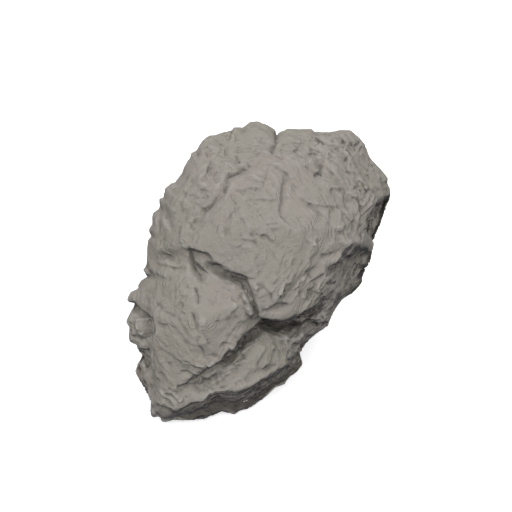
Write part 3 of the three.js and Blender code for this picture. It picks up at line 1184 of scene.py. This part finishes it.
class Wire:
    """A socket, so that shader sums read as ordinary sums."""

    def __init__(self, tree, socket):
        self.tree = tree
        self.socket = socket

    def sum(self, operation, *terms):
        """One maths node over sockets and plain numbers."""
        made = self.tree.nodes.new("ShaderNodeMath")
        made.operation = operation
        for slot, term in zip(made.inputs, terms):
            join(self.tree, slot, term)
        return Wire(self.tree, made.outputs[0])

    def __add__(self, other):
        return self.sum("ADD", self, other)

    def __sub__(self, other):
        return self.sum("SUBTRACT", self, other)

    def __rsub__(self, other):
        return self.sum("SUBTRACT", other, self)

    def __mul__(self, other):
        return self.sum("MULTIPLY", self, other)

    def fraction(self):
        return self.sum("FRACT", self)

    __radd__ = __add__
    __rmul__ = __mul__


def join(tree, slot, value):
    """Links a socket into the slot, or sets a plain value there."""
    if isinstance(value, Wire):
        tree.links.new(value.socket, slot)
    else:
        slot.default_value = value


class Net:
    """The nodes of one material or of the world."""

    def __init__(self, owner):
        owner.use_nodes = True
        self.tree = owner.node_tree

    def node(self, kind, settings, sockets, output=0):
        """Any node, from its type, its settings and its sockets."""
        made = self.tree.nodes.new(kind)
        for key, value in settings.items():
            setattr(made, key, value)
        for key, value in sockets.items():
            join(self.tree, made.inputs[key], value)
        return Wire(self.tree, made.outputs[output])

    def mix(self, share, one, other):
        """One colour where share is 0, the other where it is 1."""
        return self.node("ShaderNodeMix", {"data_type": "RGBA"}, {0: share, 6: one, 7: other}, 2)

    def noise(self, place, scale, detail):
        """Soft noise from 0 to 1."""
        sockets = {"Vector": place, "Scale": scale, "Detail": detail}
        return self.node("ShaderNodeTexNoise", {}, sockets, "Fac")

    def rise(self, value, low, high, most=1.0):
        """0 where the value is low, and up to most where it is high."""
        ends = {"Value": value, "From Min": low, "From Max": high, "To Max": most}
        return self.node("ShaderNodeMapRange", {}, ends)

    def read(self, name):
        """A number that was kept on the skin."""
        return self.node("ShaderNodeAttribute", {"attribute_name": name}, {}, "Fac")

    def set(self, node, **sockets):
        """Fills sockets of a node that is already there."""
        for key, value in sockets.items():
            join(self.tree, self.tree.nodes[node].inputs[key.replace("_", " ")], value)


# %% [markdown]
# ## The rind
#
# The rind is dull and chalky, a grey beige that drifts a little between a pinkish and an olive tone. It is
# rough all over, so one high roughness does for the whole stone, and only the colour and the bump vary.

# %% Rind material
PINKISH = (0.338, 0.308, 0.276, 1)
OLIVE = (0.326, 0.305, 0.262, 1)
# Painted shade for the hollows and the hairlines.
HOLLOW_SHADE_COLOUR = (0.150, 0.142, 0.128, 1)
# Real chalk on broken skin, and the paint of a highlight on edges.
PALE_CHALK_AND_HIGHLIGHT = (0.46, 0.44, 0.41, 1)
# Painted shade for skin that faces down.
SHADE_BELOW_COLOUR = (0.115, 0.115, 0.120, 1)
# Each noise is a scale, in lumps to the metre, and how many finer noises lie on top. An edge pair says
# where in the noise a patch starts and where it is full.
TONE_CLOUDS = (38.0, 3.0)
TONE_EDGE = (0.4, 0.6)
HAIRLINE_WANDER = (90.0, 6.0)
HAIRLINE_PATCHES = (170.0, 4.0)
HAIRLINE_EDGE = (0.49, 0.62)
SPECKS = (900.0, 2.0)
# How deep a hollow is, in millimetres, where the painted shade starts and where it is full, and the most of
# it. Edges have a depth below zero, and there the paint is paler, partly wear and partly a painted
# highlight.
SHADE_IN_HOLLOWS = (0.05, 0.50, 0.6)
EDGE_WEAR_AND_HIGHLIGHT = (-0.10, -0.45, 0.5)
LAYER_M = 0.0009
WANDER_LAYERS = 4.0
RISER_SHARE = 0.14
HAIRLINE_SHADE = 0.5
HAIRLINE_HEIGHT = 0.9
CHALK_SHARE = 0.35
BUMP_M = 0.0004
RIND_ROUGHNESS = 0.95
RIND_SHEEN = 0.2


def rind_material():
    """The weathered rind, with painted shade and a painted highlight, worked out at each point of the
    stone.
    """
    material = bpy.data.materials.new("stone_rind")
    net = Net(material)
    place = net.node("ShaderNodeTexCoord", {}, {}, "Object")

    # Two near tones drift over the rind. Hollows are painted dark, as shade, and edges are painted paler,
    # as wear and as a highlight.
    tone = net.mix(net.rise(net.noise(place, *TONE_CLOUDS), *TONE_EDGE), PINKISH, OLIVE)
    depth = net.read("hollow")
    hollow_shade = net.rise(depth, *SHADE_IN_HOLLOWS)
    edge_wear_and_highlight = net.rise(depth, *EDGE_WEAR_AND_HIGHLIGHT)

    # Very thin layers end in hairlines, in patches, on top of the ledges that are carved.
    across = net.node(
        "ShaderNodeVectorMath", {"operation": "DOT_PRODUCT"},
        {0: place, 1: tuple(LAYER_WAY / LAYER_M)}, "Value",
    )
    layer = (across + net.noise(place, *HAIRLINE_WANDER) * WANDER_LAYERS).fraction()
    riser = net.rise(layer, 0.0, RISER_SHARE)
    patch = net.rise(net.noise(place, *HAIRLINE_PATCHES), *HAIRLINE_EDGE)
    # Each hairline is painted darker, as shade along its tiny step.
    hairline_shade = (1 - riser) * patch

    # Painted shade darkens the hollows and the hairlines.
    with_painted_shade = net.mix(hollow_shade + hairline_shade * HAIRLINE_SHADE, tone, HOLLOW_SHADE_COLOUR)
    # Edges are painted paler, partly wear and partly a painted highlight; broken skin is chalky.
    worn = net.mix(edge_wear_and_highlight + net.read("chalk") * CHALK_SHARE, with_painted_shade, PALE_CHALK_AND_HIGHLIGHT)
    # Skin that faces down is painted darker, as shade.
    shaded_below = net.mix(net.read("painted_shade_below"), worn, SHADE_BELOW_COLOUR)

    height = (riser - layer) * patch * HAIRLINE_HEIGHT + net.noise(place, *SPECKS)
    bump = net.node("ShaderNodeBump", {}, {"Height": height, "Strength": 1.0, "Distance": BUMP_M})
    net.set(
        "Principled BSDF", Base_Color=shaded_below, Normal=bump,
        Roughness=RIND_ROUGHNESS, Specular_IOR_Level=RIND_SHEEN,
    )
    return material


stone.data.materials.clear()
stone.data.materials.append(rind_material())
print("rind:", len(stone.active_material.node_tree.nodes), "nodes")

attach(stone, "root")
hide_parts("nodule")

# %% [markdown]
# ## The floor
#
# The stone lies on a plain pale floor. The floor glows a little and sends no light back onto the stone, so
# it stays an even ground, and the undersides of the stone stay dark.

# %% Floor
FLOOR_SIZE_M = 8
FLOOR_COLOUR = (0.97, 0.97, 0.97, 1)
FLOOR_GLOW = 0.6

bpy.ops.mesh.primitive_plane_add(size=FLOOR_SIZE_M, location=(0, 0, 0))
floor = bpy.context.object
floor.name = "floor"
pale = bpy.data.materials.new("pale_floor")
Net(pale).set(
    "Principled BSDF", Base_Color=FLOOR_COLOUR, Roughness=1.0,
    Emission_Color=(1, 1, 1, 1), Emission_Strength=FLOOR_GLOW,
)
floor.data.materials.append(pale)
floor.visible_diffuse = False
floor.visible_glossy = False
floor.visible_shadow = False
print("floor:", FLOOR_SIZE_M, "m wide")

# %% [markdown]
# ## The light
#
# The light is a soft dome: bright overhead and in front, and dim and slightly blue from below, so that
# undersides go dark as they do on a table in daylight. A dot product says how near each direction is to the
# one the light comes from, and a colour ramp turns that into light. A second, narrower glow behind the
# stone shows its back.

# %% Dome of light
LIGHT_FROM = (-0.08, -0.41, 0.91)
FILL_FROM = (0.10, 0.99, 0.02)
FILL_STRENGTH = 1.0
FILL_EDGE = 0.45
# Along the way the light comes from: 0 is straight below it, 1 is where it comes from.
DOME = [
    (0.00, (0.030, 0.036, 0.055, 1)),
    (0.25, (0.040, 0.046, 0.065, 1)),
    (0.45, (0.120, 0.125, 0.140, 1)),
    (0.60, (0.240, 0.240, 0.250, 1)),
    (0.78, (0.620, 0.620, 0.630, 1)),
    (1.00, (1.880, 1.880, 1.890, 1)),
]


def dome_of_light():
    """The light from all around, as the world's background."""
    world = bpy.data.worlds.new("studio")
    bpy.context.scene.world = world
    net = Net(world)
    way = net.node("ShaderNodeTexCoord", {}, {}, "Generated")
    dot = {"operation": "DOT_PRODUCT"}
    height = net.node("ShaderNodeVectorMath", dot, {0: way, 1: LIGHT_FROM}, "Value")
    shade = net.node("ShaderNodeValToRGB", {}, {"Fac": height * 0.5 + 0.5}, "Color")
    behind = net.node("ShaderNodeVectorMath", dot, {0: way, 1: FILL_FROM}, "Value")
    glow = net.rise(behind, FILL_EDGE, 1.0, FILL_STRENGTH)
    stops = shade.socket.node.color_ramp.elements
    while len(stops) < len(DOME):
        stops.new(0.5)
    for stop, (position, colour) in zip(stops, DOME):
        stop.position = position
        stop.color = colour
    both = net.node("ShaderNodeVectorMath", {"operation": "ADD"}, {0: shade, 1: glow}, "Vector")
    net.set("Background", Color=both)


dome_of_light()
bpy.context.scene.view_settings.view_transform = "Standard"
print("dome:", len(DOME), "shades from below to above")
